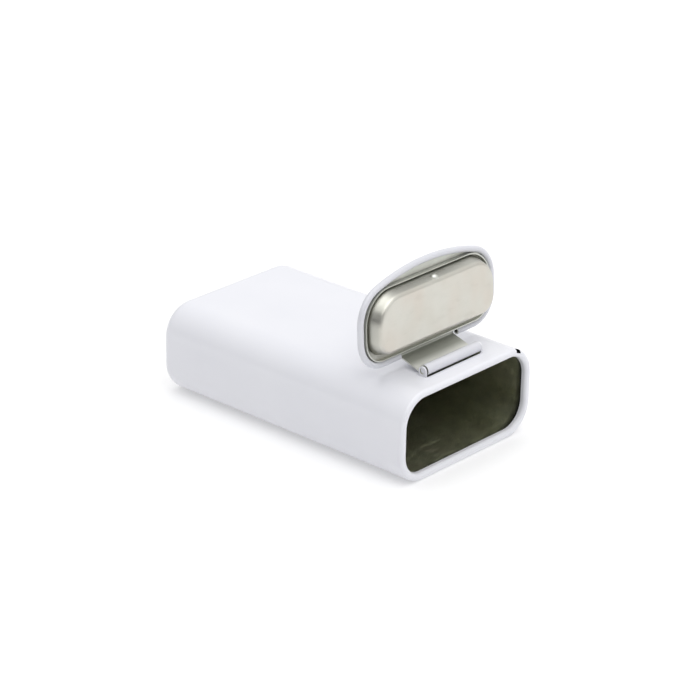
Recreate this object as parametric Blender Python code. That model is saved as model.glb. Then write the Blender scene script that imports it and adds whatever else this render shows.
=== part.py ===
"""Small flip-top tin: a flat sheet-metal box that opens at one end.

The tin lies on its broad face. X runs along it, with the mouth at +X and the closed
end at -X, Y runs across it and Z is up. The origin is the middle of the resting face.
The lid is modelled shut, around the hinge axis, and then turned open about that axis.
All lengths are in metres.
"""

import math

import bmesh
import bpy
from mathutils import Matrix, Vector

MM = 0.001

# Body: a rounded box section with a curled mouth and a turned-in far end
BODY_LENGTH = 56.6 * MM
BODY_WIDTH = 34.0 * MM
BODY_HEIGHT = 16.5 * MM
BODY_CORNER = 5.8 * MM
BODY_SHEET = 0.25 * MM
MOUTH_CURL = 0.7 * MM
MOUTH_CURL_TURN = math.radians(252)
END_ROUND = 2.0 * MM
END_LIP = 0.7 * MM

# Lap seam: a notch in the outer side of the mouth curl, on the corner at +Y
SEAM_ANGLE = math.radians(68)
SEAM_WIDTH = 1.2 * MM
SEAM_LENGTH = 0.7 * MM
SEAM_DEPTH = 0.6 * MM

# Base plate: a drawn pan pushed in from the mouth against the turned-in end
BASE_SHEET = 0.25 * MM
BASE_FIT = 0.1 * MM
BASE_SKIRT = 1.6 * MM

# Hinge: a wire in two ears that are folded up from the ends of a slot in the top face
PIN_RADIUS = 0.5 * MM
PIN_SETBACK = 4.2 * MM
PIN_RISE = 0.95 * MM
PIN_RECESS = 0.1 * MM
EAR_SHEET = 0.3 * MM
EAR_BORE_FIT = 0.1 * MM
EAR_RIM = 0.2 * MM
EAR_KNUCKLE_GAP = 0.2 * MM
SLOT_MARGIN = 0.05 * MM

# Lid: the cover pan with a rolled hem, and its hinge tongue
LID_SHEET = 0.25 * MM
LID_OVERHANG = 0.45 * MM
LID_RISE = 0.05 * MM
LID_FLOOR_GAP = 0.05 * MM
LID_ARCH_RISE = 3.6 * MM
LID_HINGE_CORNER = 5.6 * MM
LID_FREE_CORNER = 6.5 * MM
LID_HEM = 0.55 * MM
LID_HEM_TURN = math.radians(252)
LID_MOUTH_GAP = 0.3 * MM
LID_OPEN_ANGLE = math.radians(183.5)
TONGUE_WIDTH = 13.8 * MM
TONGUE_RELIEF = 0.5 * MM
KNUCKLE_FIT = 0.2 * MM
KNUCKLE_TURN = math.radians(285)

# Insert: the drawn plug that closes the mouth, seated inside the lid's hem
INSERT_SHEET = 0.2 * MM
INSERT_FIT = 0.08 * MM
FLANGE_SIDE_GAP = 0.25 * MM
FLANGE_HINGE_GAP = 0.1 * MM
FLANGE_FREE_SETBACK = 2.6 * MM
FLANGE_FREE_CORNER = 6.0 * MM
FLANGE_HINGE_CORNER = 4.2 * MM
PLUG_DEPTH = 2.1 * MM
PLUG_SIDE_GAP = 0.2 * MM
PLUG_HINGE_GAP = 0.9 * MM
PLUG_FREE_GAP = 1.65 * MM
PLUG_FREE_CORNER = 5.6 * MM
PLUG_HINGE_CORNER = 3.6 * MM
PLUG_EDGE = 0.7 * MM
PLUG_DRAFT = math.radians(16)
BUMP_RADIUS = 0.8 * MM
BUMP_STANDOUT = 0.45 * MM

# How far a cutter runs past what it cuts, and how far joined shapes overlap
OVERRUN = 1.0 * MM

# Facets of round shapes
CORNER_STEPS = 7
CURL_STEPS = 14
ROUND_STEPS = 5
CROWN_STEPS = 12
WIRE_STEPS = 24

# Finishes: colour, roughness, metallic
WHITE_ENAMEL = ("white_enamel", (0.86, 0.87, 0.90, 1.0), 0.25, 0.0)
BARE_TINPLATE = ("bare_tinplate", (0.66, 0.65, 0.61, 1.0), 0.30, 1.0)
PIN_STEEL = ("pin_steel", (0.45, 0.45, 0.46, 1.0), 0.35, 1.0)

# Places that follow from the sizes above
MOUTH_X = BODY_LENGTH / 2
FAR_X = -BODY_LENGTH / 2
HALF_WIDTH = BODY_WIDTH / 2
AXIS_X = MOUTH_X - PIN_SETBACK
AXIS_Z = BODY_HEIGHT + PIN_RISE
KNUCKLE_BORE = PIN_RADIUS + KNUCKLE_FIT
KNUCKLE_OUTER = KNUCKLE_BORE + LID_SHEET
EAR_HALF = PIN_RADIUS + EAR_BORE_FIT + EAR_RIM
EAR_INNER_Y = TONGUE_WIDTH / 2 + EAR_KNUCKLE_GAP


def clear_scene():
    """Remove whatever the scene holds."""
    for obj in list(bpy.data.objects):
        bpy.data.objects.remove(obj, do_unlink=True)


def make_material(finish):
    """Return a Principled material for a finish, made once for each name."""
    name, colour, roughness, metallic = finish
    material = bpy.data.materials.get(name)
    if material is None:
        material = bpy.data.materials.new(name)
        material.use_nodes = True
        shader = material.node_tree.nodes["Principled BSDF"]
        shader.inputs["Base Color"].default_value = colour
        shader.inputs["Roughness"].default_value = roughness
        shader.inputs["Metallic"].default_value = metallic
    return material


def arc(centre_a, centre_b, radius, start, turn, steps):
    """Return points (a, b) along an arc, both ends included."""
    angles = [start + turn * step / steps for step in range(steps + 1)]
    return [(centre_a + radius * math.cos(t), centre_b + radius * math.sin(t)) for t in angles]


def box_outline(low_y, high_y, low_z, high_z, high_corner, low_corner):
    """Return the points of a rectangle with round corners, from its high corner round.

    The corners at high z have one radius and those at low z another.
    """
    quarter = math.pi / 2
    points = []
    corners = [
        (high_y - high_corner, high_z - high_corner, high_corner),
        (low_y + high_corner, high_z - high_corner, high_corner),
        (low_y + low_corner, low_z + low_corner, low_corner),
        (high_y - low_corner, low_z + low_corner, low_corner),
    ]
    for index, (centre_y, centre_z, radius) in enumerate(corners):
        points += arc(centre_y, centre_z, radius, index * quarter, quarter, CORNER_STEPS)
    return points


def body_ring(x, inset):
    """Return the body section's points at x, moved in from its outside by inset."""
    half = HALF_WIDTH - inset
    corner = BODY_CORNER - inset
    outline = box_outline(-half, half, inset, BODY_HEIGHT - inset, corner, corner)
    return [Vector((x, y, z)) for y, z in outline]


def skin_rings(rings, is_tube):
    """Return a closed bmesh over rings of like points, joined end to end if a tube."""
    mesh = bmesh.new()
    loops = [[mesh.verts.new(point) for point in ring] for ring in rings]
    count = len(loops[0])
    pairs = list(zip(loops, loops[1:]))
    if is_tube:
        pairs.append((loops[-1], loops[0]))
    for first, second in pairs:
        for index in range(count):
            after = (index + 1) % count
            mesh.faces.new((first[index], first[after], second[after], second[index]))
    if not is_tube:
        mesh.faces.new(loops[0])
        mesh.faces.new(loops[-1])
    bmesh.ops.recalc_face_normals(mesh, faces=mesh.faces)
    return mesh


def extrude_profile(points, low_y, high_y):
    """Return a closed bmesh: an (x, z) profile drawn out along Y."""
    rings = [[Vector((x, y, z)) for x, z in points] for y in (low_y, high_y)]
    return skin_rings(rings, is_tube=False)


def make_object(name, mesh, finish=None):
    """Make an object of a bmesh, with a finish, or as a hidden guide without one."""
    data = bpy.data.meshes.new(name)
    mesh.to_mesh(data)
    mesh.free()
    obj = bpy.data.objects.new(name, data)
    bpy.context.collection.objects.link(obj)
    if finish is None:
        obj.hide_render = True
        obj.display_type = "WIRE"
    else:
        data.materials.append(make_material(finish))
        data.shade_smooth()
        data.set_sharp_from_angle(angle=math.radians(40))
    return obj


def add_boolean(obj, tool, operation):
    """Join a tool to an object, or cut it out, with a live modifier."""
    modifier = obj.modifiers.new(tool.name, "BOOLEAN")
    modifier.operation = operation
    modifier.object = tool
    modifier.solver = "EXACT"


def box_mesh(low, high):
    """Return a bmesh box between two corners."""
    profile = [(low[0], low[2]), (high[0], low[2]), (high[0], high[2]), (low[0], high[2])]
    return extrude_profile(profile, low[1], high[1])


def wire_mesh(radius, low_y, high_y, centre_x, centre_z):
    """Return a bmesh cylinder along Y."""
    circle = arc(centre_x, centre_z, radius, 0, 2 * math.pi, WIRE_STEPS)[:-1]
    return extrude_profile(circle, low_y, high_y)


def body_profile():
    """Return the (x, inset) stations of the body's sheet, once round its section."""
    curl_x = MOUTH_X - MOUTH_CURL
    end_x = FAR_X + END_ROUND
    quarter = math.pi / 2
    outer_curl = arc(curl_x, MOUTH_CURL, MOUTH_CURL, -quarter, MOUTH_CURL_TURN, CURL_STEPS)
    inner_curl = arc(
        curl_x, MOUTH_CURL, MOUTH_CURL - BODY_SHEET, MOUTH_CURL_TURN - quarter, -MOUTH_CURL_TURN, CURL_STEPS
    )
    inner_end = arc(end_x, END_ROUND, END_ROUND - BODY_SHEET, -quarter, -quarter, ROUND_STEPS)
    outer_end = arc(end_x, END_ROUND, END_ROUND, -2 * quarter, quarter, ROUND_STEPS)
    lip = [(FAR_X + BODY_SHEET, END_ROUND + END_LIP), (FAR_X, END_ROUND + END_LIP)]
    return outer_curl + inner_curl + inner_end + lip + outer_end


def ear_profile():
    """Return an ear's (x, z) outline: a tab with a round head about the pin."""
    foot_z = BODY_HEIGHT - BODY_SHEET
    head = arc(AXIS_X, AXIS_Z, EAR_HALF, 0, math.pi, CURL_STEPS)
    return [(AXIS_X - EAR_HALF, foot_z), (AXIS_X + EAR_HALF, foot_z)] + head


def build_body_shell():
    """Build the tube, cut its slot and seam notch, and stand its two ears."""
    rings = [body_ring(x, inset) for x, inset in body_profile()]
    body = make_object("body_shell", skin_rings(rings, is_tube=True), WHITE_ENAMEL)

    slot_half = EAR_HALF + SLOT_MARGIN
    slot = make_object("slot_cutter", box_mesh(
        (AXIS_X - slot_half, -EAR_INNER_Y, BODY_HEIGHT - BODY_SHEET - OVERRUN),
        (AXIS_X + slot_half, EAR_INNER_Y, BODY_HEIGHT + OVERRUN),
    ))
    add_boolean(body, slot, "DIFFERENCE")

    for side, name in ((-1, "near_ear"), (1, "far_ear")):
        ends = sorted((side * EAR_INNER_Y, side * (EAR_INNER_Y + EAR_SHEET)))
        ear = make_object(name, extrude_profile(ear_profile(), *ends))
        add_boolean(body, ear, "UNION")

    bore_radius = PIN_RADIUS + EAR_BORE_FIT
    bore_end = EAR_INNER_Y + EAR_SHEET + OVERRUN
    bore = make_object("ear_bore_cutter", wire_mesh(bore_radius, -bore_end, bore_end, AXIS_X, AXIS_Z))
    add_boolean(body, bore, "DIFFERENCE")

    seam_x = MOUTH_X - MOUTH_CURL
    seam = make_object("seam_cutter", box_mesh(
        (seam_x, -SEAM_WIDTH / 2, BODY_CORNER - SEAM_DEPTH),
        (seam_x + SEAM_LENGTH, SEAM_WIDTH / 2, BODY_CORNER + OVERRUN),
    ))
    seam.rotation_euler.x = SEAM_ANGLE - math.pi / 2
    seam.location = (0, HALF_WIDTH - BODY_CORNER, BODY_HEIGHT - BODY_CORNER)
    add_boolean(body, seam, "DIFFERENCE")


def base_profile():
    """Return the (x, inset) stations of the base plate, from its outside to its inside."""
    fit = BODY_SHEET + BASE_FIT
    end_x = FAR_X + END_ROUND
    skirt_x = end_x + BASE_SKIRT
    quarter = math.pi / 2
    outer_radius = END_ROUND - fit
    outer = arc(end_x, END_ROUND, outer_radius, -2 * quarter, quarter, ROUND_STEPS)
    inner = arc(end_x, END_ROUND, outer_radius - BASE_SHEET, -quarter, -quarter, ROUND_STEPS)
    skirt = [(skirt_x, fit), (skirt_x, fit + BASE_SHEET)]
    return outer + skirt + inner


def build_base_plate():
    """Build the pan that closes the far end from inside."""
    rings = [body_ring(x, inset) for x, inset in base_profile()]
    make_object("base_plate", skin_rings(rings, is_tube=False), BARE_TINPLATE)


def build_hinge_pin():
    """Build the hinge wire, with its ends just inside the ears' outer faces."""
    end = EAR_INNER_Y + EAR_SHEET - PIN_RECESS
    pin = make_object("hinge_pin", wire_mesh(PIN_RADIUS, -end, end, 0, 0), PIN_STEEL)
    pin.location = (AXIS_X, 0, AXIS_Z)


# The lid's own frame: its origin is the hinge axis, and the lid is shut.
# A lid place is (across, down, out): across the width, down from the hinge edge, and
# out from the plane of the hem that faces the mouth.
LID_HALF_WIDTH = HALF_WIDTH + LID_OVERHANG
LID_DROP = BODY_HEIGHT + LID_RISE - LID_FLOOR_GAP
LID_FRONT_X = PIN_SETBACK + LID_MOUTH_GAP
LID_TOP_Z = LID_RISE - PIN_RISE
PANEL_IN = 2 * LID_HEM - LID_SHEET
PANEL_OUT = 2 * LID_HEM
FLANGE_BACK = PANEL_IN - INSERT_FIT
FLANGE_FRONT = FLANGE_BACK - INSERT_SHEET
PLUG_FREE_DOWN = LID_DROP + LID_FLOOR_GAP - 2 * MOUTH_CURL - PLUG_FREE_GAP


def lid_point(across, down, out):
    """Return a lid place as a vector from the hinge axis, lid shut."""
    return Vector((LID_FRONT_X + out, across, LID_TOP_Z - down))


def lid_outline(inset):
    """Return the lid's (across, down) outline, moved in by inset.

    It is straight at the hinge and arched at the free side.
    """
    arch = (LID_HALF_WIDTH ** 2 + LID_ARCH_RISE ** 2) / (2 * LID_ARCH_RISE)
    arch_centre = LID_DROP - arch
    free_across = LID_HALF_WIDTH - LID_FREE_CORNER
    reach = math.sqrt((arch - LID_FREE_CORNER) ** 2 - free_across ** 2)
    free_down = arch_centre + reach
    free_turn = math.atan2(reach, free_across)
    hinge_across = LID_HALF_WIDTH - LID_HINGE_CORNER
    quarter = math.pi / 2
    hinge_radius = LID_HINGE_CORNER - inset
    free_radius = LID_FREE_CORNER - inset
    points = arc(-hinge_across, LID_HINGE_CORNER, hinge_radius, -2 * quarter, quarter, CORNER_STEPS)
    points += arc(hinge_across, LID_HINGE_CORNER, hinge_radius, -quarter, quarter, CORNER_STEPS)
    points += arc(free_across, free_down, free_radius, 0, free_turn, CORNER_STEPS)
    points += arc(0, arch_centre, arch - inset, free_turn, 2 * (quarter - free_turn), CROWN_STEPS)[1:-1]
    points += arc(-free_across, free_down, free_radius, 2 * quarter - free_turn, free_turn, CORNER_STEPS)
    return points


def cover_rings():
    """Return the rings of the cover: its outside, round the hem and back inside."""
    quarter = math.pi / 2
    flat_inset = 2 * LID_HEM
    outer_hem = arc(LID_HEM, LID_HEM, LID_HEM, quarter, LID_HEM_TURN, CURL_STEPS)
    hem_bore = LID_HEM - LID_SHEET
    inner_hem = arc(LID_HEM, LID_HEM, hem_bore, quarter + LID_HEM_TURN, -LID_HEM_TURN, CURL_STEPS)
    stations = [(flat_inset, PANEL_OUT)] + outer_hem + inner_hem + [(flat_inset, PANEL_IN)]
    return [
        [lid_point(across, down, out) for across, down in lid_outline(inset)]
        for inset, out in stations
    ]


def tongue_profile():
    """Return the tongue's (x, z) outline: over the lid's edge, back and round the pin."""
    bend_x = LID_FRONT_X + LID_HEM
    bend_z = LID_TOP_Z - LID_HEM
    distance = math.hypot(bend_x, bend_z)
    facing = math.atan2(bend_z, bend_x)
    meet = facing + math.acos((KNUCKLE_OUTER - LID_HEM) / distance)
    foot = (LID_FRONT_X + PANEL_OUT, bend_z - LID_HEM)
    inner_foot = (LID_FRONT_X + PANEL_IN, bend_z - LID_HEM)
    bend = arc(bend_x, bend_z, LID_HEM, 0, meet, ROUND_STEPS)
    knuckle = arc(0, 0, KNUCKLE_OUTER, meet, KNUCKLE_TURN, WIRE_STEPS)
    bore = arc(0, 0, KNUCKLE_BORE, meet + KNUCKLE_TURN, -KNUCKLE_TURN, WIRE_STEPS)
    inner_bend = arc(bend_x, bend_z, LID_HEM - LID_SHEET, meet, -meet, ROUND_STEPS)
    return [foot] + bend + knuckle + bore + inner_bend + [inner_foot]


def build_lid_cover(hinge):
    """Build the cover pan, open its hem for the tongue, and join the tongue to it."""
    cover = make_object("lid_cover", skin_rings(cover_rings(), is_tube=False), WHITE_ENAMEL)
    cover.parent = hinge

    gap_half = TONGUE_WIDTH / 2 + TONGUE_RELIEF
    low = lid_point(-gap_half, 2 * LID_HEM + LID_SHEET, -OVERRUN)
    high = lid_point(gap_half, -OVERRUN, PANEL_IN)
    hem_gap = make_object("hem_gap_cutter", box_mesh(low, high))
    hem_gap.parent = hinge
    add_boolean(cover, hem_gap, "DIFFERENCE")

    tongue_half = TONGUE_WIDTH / 2
    tongue = make_object("tongue_tool", extrude_profile(tongue_profile(), -tongue_half, tongue_half))
    tongue.parent = hinge
    add_boolean(cover, tongue, "UNION")


def insert_rings():
    """Return the rings of the insert: its plug face, wall, flange and turned-up edge, and back."""
    mouth = 2 * MOUTH_CURL
    hem = 2 * LID_HEM
    face_out = -PLUG_DEPTH
    quarter = math.pi / 2

    def flange_ring(inset, out):
        half = LID_HALF_WIDTH - hem - FLANGE_SIDE_GAP - inset
        high = hem + FLANGE_HINGE_GAP + inset
        low = LID_DROP - FLANGE_FREE_SETBACK - inset
        corners = (FLANGE_FREE_CORNER - inset, FLANGE_HINGE_CORNER - inset)
        outline = box_outline(-half, half, high, low, *corners)
        return [lid_point(across, down, out) for across, down in outline]

    def plug_ring(inset, out):
        half = HALF_WIDTH - mouth - PLUG_SIDE_GAP - inset
        high = LID_RISE + mouth + PLUG_HINGE_GAP + inset
        low = PLUG_FREE_DOWN - inset
        corners = (PLUG_FREE_CORNER - inset, PLUG_HINGE_CORNER - inset)
        outline = box_outline(-half, half, high, low, *corners)
        return [lid_point(across, down, out) for across, down in outline]

    def wall_stations(root_inset, root_out, edge, face):
        """Return (inset, out) from the wall's root to the face's edge."""
        drafted = quarter - PLUG_DRAFT
        edge_out = face + edge
        bend_out = edge_out - edge * math.sin(PLUG_DRAFT)
        bend_inset = root_inset + (root_out - bend_out) * math.tan(PLUG_DRAFT)
        centre_inset = bend_inset + edge * math.cos(PLUG_DRAFT)
        bend = arc(centre_inset, edge_out, edge, -2 * quarter + PLUG_DRAFT, drafted, ROUND_STEPS)
        return [(root_inset, root_out)] + bend

    front = wall_stations(0, FLANGE_FRONT, PLUG_EDGE, face_out)
    back = wall_stations(INSERT_SHEET, FLANGE_BACK, PLUG_EDGE - INSERT_SHEET, face_out + INSERT_SHEET)
    rings = [plug_ring(inset, out) for inset, out in reversed(front)]
    rings.append(flange_ring(INSERT_SHEET, FLANGE_FRONT))
    rings.append(flange_ring(INSERT_SHEET, 0))
    rings.append(flange_ring(0, 0))
    rings.append(flange_ring(0, FLANGE_BACK))
    rings += [plug_ring(inset, out) for inset, out in back]
    return rings


def build_lid_plug(hinge):
    """Build the drawn insert and the snap bump on the wall at its free side."""
    insert = make_object("lid_plug", skin_rings(insert_rings(), is_tube=False), BARE_TINPLATE)
    insert.parent = hinge

    bump_out = -PLUG_DEPTH / 2
    wall_down = PLUG_FREE_DOWN - (FLANGE_FRONT - bump_out) * math.tan(PLUG_DRAFT)
    mesh = bmesh.new()
    place = lid_point(0, wall_down - BUMP_RADIUS + BUMP_STANDOUT, bump_out)
    bmesh.ops.create_uvsphere(
        mesh, u_segments=CURL_STEPS, v_segments=CURL_STEPS, radius=BUMP_RADIUS, matrix=Matrix.Translation(place)
    )
    bump = make_object("snap_bump_tool", mesh)
    bump.parent = hinge
    add_boolean(insert, bump, "UNION")


def build_tin():
    """Build every piece, with the lid on its hinge, standing open."""
    clear_scene()
    build_body_shell()
    build_base_plate()
    build_hinge_pin()
    hinge = bpy.data.objects.new("lid_hinge", None)
    hinge.location = (AXIS_X, 0, AXIS_Z)
    hinge.rotation_euler.y = -LID_OPEN_ANGLE
    bpy.context.collection.objects.link(hinge)
    build_lid_cover(hinge)
    build_lid_plug(hinge)
    bpy.context.view_layer.update()


build_tin()
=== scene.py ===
"""Dress the small flip-top tin: white enamel outside, bare tinplate inside, on a pale floor.

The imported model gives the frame. Every piece here is modelled at its own place in that
frame, in metres, with the lid standing open, and replaces the plain node it stands for.
"""

import logging
import math
from collections.abc import Callable, Iterable
from dataclasses import dataclass
from enum import Enum
from typing import Any

import bmesh
import bpy
from mathutils import Matrix, Vector


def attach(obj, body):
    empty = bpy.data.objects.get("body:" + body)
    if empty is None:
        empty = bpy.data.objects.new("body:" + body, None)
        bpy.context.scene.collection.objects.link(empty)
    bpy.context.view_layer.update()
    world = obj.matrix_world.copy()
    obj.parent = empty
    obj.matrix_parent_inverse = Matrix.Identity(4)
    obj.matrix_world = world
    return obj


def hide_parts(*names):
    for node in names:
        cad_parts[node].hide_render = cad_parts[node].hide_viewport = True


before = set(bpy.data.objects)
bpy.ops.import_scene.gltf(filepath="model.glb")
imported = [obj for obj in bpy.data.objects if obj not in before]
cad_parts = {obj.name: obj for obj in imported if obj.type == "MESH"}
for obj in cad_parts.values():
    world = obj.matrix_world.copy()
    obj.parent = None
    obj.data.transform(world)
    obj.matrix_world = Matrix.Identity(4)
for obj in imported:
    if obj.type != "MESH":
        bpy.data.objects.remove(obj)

MM = 0.001
QUARTER = math.pi / 2
FACET_ANGLE = math.radians(38)
IMAGE_SIDE = 700

# Places nearer than the first are one place; points nearer than the others are merged
NEAR = 0.001 * MM
SEAL = 0.0005 * MM
JOIN = 0.002 * MM

# A face is square to an axis past the first share of its normal, and along it up to the second
SQUARE = 0.99
ALONG = 0.05

LOG = logging.getLogger("tin")

Piece = bpy.types.Object
Material = bpy.types.Material
Socket = bpy.types.NodeSocket
Triple = tuple[float, float, float]
Colour = tuple[float, float, float, float]
EdgeTest = Callable[[bmesh.types.BMEdge], bool]
FaceTest = Callable[[bmesh.types.BMFace], bool]


class Side(Enum):
    """The printed sheet's coats: enamel outside, bare inside, and bare painted brighter for the sky
    it reflects.
    """

    ENAMEL = 0
    BARE = 1
    BURNISHED = 2


class Grip(Enum):
    """What is picked in edit mode, with the name of its list in the mesh."""

    EDGE = "edges"
    FACE = "faces"


class Meet(Enum):
    """How a tool meets a piece: it is cut out of it, or joined to it."""

    CUT = "DIFFERENCE"
    JOIN = "UNION"


class Axis(Enum):
    """An axis of the frame, which also stands for the planes square to it."""

    X = 0
    Y = 1
    Z = 2

    def place(self, first: float, second: float, height: float) -> Vector:
        """Return a point of a plane square to the axis.

        Args:
            first: Distance along the plane's first axis, the next after this one.
            second: Distance along the plane's second axis, the one after that.
            height: Place of the plane along this axis.

        Returns:
            The point, with the plane's axes turning into each other right-handed.
        """
        point = Vector()
        for step, distance in enumerate((height, first, second)):
            point[(self.value + step) % len(Axis)] = distance
        return point

    def unit(self) -> Vector:
        """Return the axis's unit vector."""
        return self.place(0.0, 0.0, 1.0)


@dataclass(frozen=True)
class Grain:
    """A random pattern on a surface.

    Attributes:
        size: Size of its features, in metres.
        detail: Octaves of finer noise.
        stretch: Scale along each axis; a small one draws the pattern out.
        turn: Turn of the pattern about Z.
    """

    size: float
    detail: float = 3.0
    stretch: Triple = (1.0, 1.0, 1.0)
    turn: float = 0.0


@dataclass(frozen=True)
class Mottle:
    """A random pattern brought to the range that a finish needs.

    Attributes:
        grain: The pattern, from 0 to 1.
        low: Where the pattern's value still gives the least.
        high: Where it already gives the most.
        least: The least that it gives.
        most: The most that it gives.
    """

    grain: Grain
    low: float
    high: float
    least: float = 0.0
    most: float = 1.0


class Graph:
    """A node tree, with short calls for the nodes that the looks share."""

    # A Mix node's colour sockets go by number, because their names repeat
    MIX_FIRST = 6
    MIX_SECOND = 7
    MIX_RESULT = 2

    def __init__(self, tree: bpy.types.NodeTree) -> None:
        """Take the tree of a material or a world."""
        self.tree = tree

    def node(self, kind: str, inputs: dict[str | int, Any], **settings: Any) -> bpy.types.Node:
        """Add a node.

        Args:
            kind: The node's type name.
            inputs: Values or sockets, by the input's name or number.
            **settings: Properties of the node itself.

        Returns:
            The new node.
        """
        node = self.tree.nodes.new(kind)
        for key, value in settings.items():
            setattr(node, key, value)
        for key, value in inputs.items():
            self.feed(node.inputs[key], value)
        return node

    def feed(self, socket: Socket, value: Any) -> None:
        """Link a socket to another, or set it to a plain value.

        Args:
            socket: The socket that takes the value.
            value: A socket or a plain value.
        """
        if isinstance(value, Socket):
            self.tree.links.new(value, socket)
        else:
            socket.default_value = value

    def combine(self, operation: str, *values: Any) -> Socket:
        """Return values put together by a Math node's operation."""
        inputs = dict(enumerate(values))
        return self.node("ShaderNodeMath", inputs, operation=operation).outputs["Value"]

    def times(self, first: Any, second: Any) -> Socket:
        """Return the product of two values."""
        return self.combine("MULTIPLY", first, second)

    def plus(self, first: Any, second: Any) -> Socket:
        """Return the sum of two values."""
        return self.combine("ADD", first, second)

    def ranged(
        self, value: Any, low: float, high: float, start: float = 0.0, end: float = 1.0
    ) -> Socket:
        """Return a value mapped from low..high to start..end, and held within it."""
        inputs = {"Value": value, "From Min": low, "From Max": high, "To Min": start, "To Max": end}
        return self.node("ShaderNodeMapRange", inputs).outputs["Result"]

    def blend(self, factor: Any, first: Any, second: Any) -> Socket:
        """Return two colours mixed by a factor."""
        inputs = {"Factor": factor, self.MIX_FIRST: first, self.MIX_SECOND: second}
        return self.node("ShaderNodeMix", inputs, data_type="RGBA").outputs[self.MIX_RESULT]


class MaterialGraph(Graph):
    """The node tree of a material with one Principled shader."""

    def __init__(self, name: str) -> None:
        """Start a material.

        Args:
            name: The material's name.
        """
        self.material = bpy.data.materials.new(name)
        self.material.use_nodes = True
        super().__init__(self.material.node_tree)
        self.shader = self.tree.nodes["Principled BSDF"]
        self.place = self.node("ShaderNodeTexCoord", {}).outputs["Object"]

    def noise(self, grain: Grain) -> Socket:
        """Lay a random pattern on object coordinates.

        Args:
            grain: The pattern.

        Returns:
            Its value, from 0 to 1.
        """
        laid = {"Vector": self.place, "Scale": grain.stretch, "Rotation": (0.0, 0.0, grain.turn)}
        place = self.node("ShaderNodeMapping", laid).outputs["Vector"]
        inputs = {"Vector": place, "Scale": 1.0 / grain.size, "Detail": grain.detail}
        return self.node("ShaderNodeTexNoise", inputs).outputs["Fac"]

    def mottle(self, one: Mottle) -> Socket:
        """Return a mottle's value, from its least to its most."""
        return self.ranged(self.noise(one.grain), one.low, one.high, one.least, one.most)

    def along(self, direction: Vector, start: float) -> Socket:
        """Measure the distance along a direction, in object coordinates.

        Args:
            direction: The direction, of length 1.
            start: Where along it the distance is 0.

        Returns:
            The distance.
        """
        inputs = {0: self.place, 1: direction}
        dot = self.node("ShaderNodeVectorMath", inputs, operation="DOT_PRODUCT")
        return self.combine("SUBTRACT", dot.outputs["Value"], start)

    def relief(
        self, height: Socket, depth: float, strength: float, under: Any = None
    ) -> Socket:
        """Bend the surface's normal by a height pattern.

        Args:
            height: The pattern, from 0 to 1.
            depth: Height of the pattern's rise, in metres.
            strength: Share of the bend that is kept.
            under: A normal that this one is laid over.

        Returns:
            The normal.
        """
        inputs = {"Height": height, "Distance": depth, "Strength": strength}
        if under is not None:
            inputs["Normal"] = under
        return self.node("ShaderNodeBump", inputs).outputs["Normal"]

    def set_shader(self, **values: Any) -> None:
        """Set or link the shader's inputs, named with underscores for spaces."""
        for key, value in values.items():
            self.feed(self.shader.inputs[key.replace("_", " ")], value)


@dataclass(frozen=True)
class WhiteEnamel:
    """Stoved white enamel, faintly lavender, with a light orange peel and hairline rubs."""

    name: str = "white_enamel_look"
    colour: Colour = (0.770, 0.775, 0.818, 1.0)
    shade: Colour = (0.752, 0.758, 0.804, 1.0)
    rub: Colour = (0.70, 0.70, 0.73, 1.0)
    cloud: Mottle = Mottle(Grain(13 * MM, 2.0), 0.35, 0.7)
    hairlines: Mottle = Mottle(
        Grain(0.35 * MM, 2.0, (0.06, 1.0, 1.0), math.radians(12)), 0.62, 0.74
    )
    handled: Mottle = Mottle(Grain(7 * MM), 0.52, 0.72)
    gloss: Mottle = Mottle(Grain(6 * MM, 2.0), 0.3, 0.7, 0.285, 0.325)
    peel: Grain = Grain(0.9 * MM, 2.0)
    dents: Grain = Grain(16 * MM, 1.0)
    rub_share: float = 0.04
    rub_roughness: float = 0.03
    peel_depth: float = 0.012 * MM
    dent_depth: float = 0.10 * MM
    bend_share: float = 0.35
    coat: float = 0.35
    coat_roughness: float = 0.12
    specular: float = 0.45

    def material(self) -> Material:
        """Make the enamel as a node material.

        Returns:
            The material.
        """
        graph = MaterialGraph(self.name)
        ground = graph.blend(graph.mottle(self.cloud), self.colour, self.shade)
        rubbed = graph.times(graph.mottle(self.hairlines), graph.mottle(self.handled))
        roughened = graph.times(rubbed, self.rub_roughness)
        dents = graph.relief(graph.noise(self.dents), self.dent_depth, self.bend_share)
        graph.set_shader(
            Base_Color=graph.blend(graph.times(rubbed, self.rub_share), ground, self.rub),
            Roughness=graph.plus(graph.mottle(self.gloss), roughened),
            Normal=graph.relief(graph.noise(self.peel), self.peel_depth, self.bend_share, dents),
            Coat_Weight=self.coat,
            Coat_Roughness=self.coat_roughness,
            Specular_IOR_Level=self.specular,
        )
        return graph.material


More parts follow.
